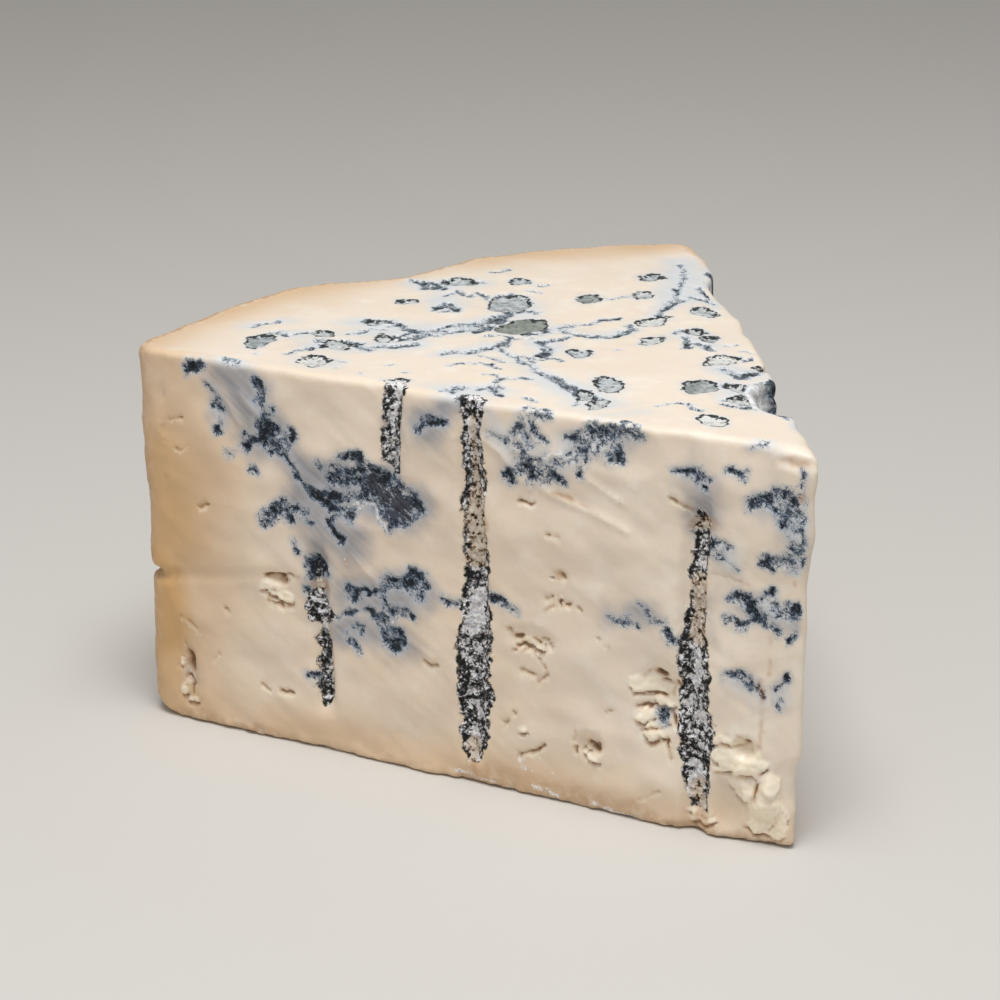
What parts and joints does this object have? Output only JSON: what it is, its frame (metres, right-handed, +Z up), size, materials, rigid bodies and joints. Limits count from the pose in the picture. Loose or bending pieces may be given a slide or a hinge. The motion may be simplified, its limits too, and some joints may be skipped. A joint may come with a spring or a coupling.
{
  "type": "wedge of blue-veined cheese",
  "caption": "Tall wedge of firm blue-veined cheese with bare cut faces, upright needle channels, a thin tan rind on its back wall and a flat rind foot.",
  "frame": {"origin": "on the ground under the middle of the wedge's outline seen from above", "axes": "+Z up from the flat rind foot, +X along the front cut face towards the tip, +Y from the front cut face into the cheese"},
  "size_m": [0.1498, 0.1256, 0.0804],
  "materials": {
    "cheese": "moist satin paste with blue-black veins and a dry tan rind"
  },
  "bodies": {
    "root": {"cheese_wedge": "cheese"}
  },
  "joints": []
}
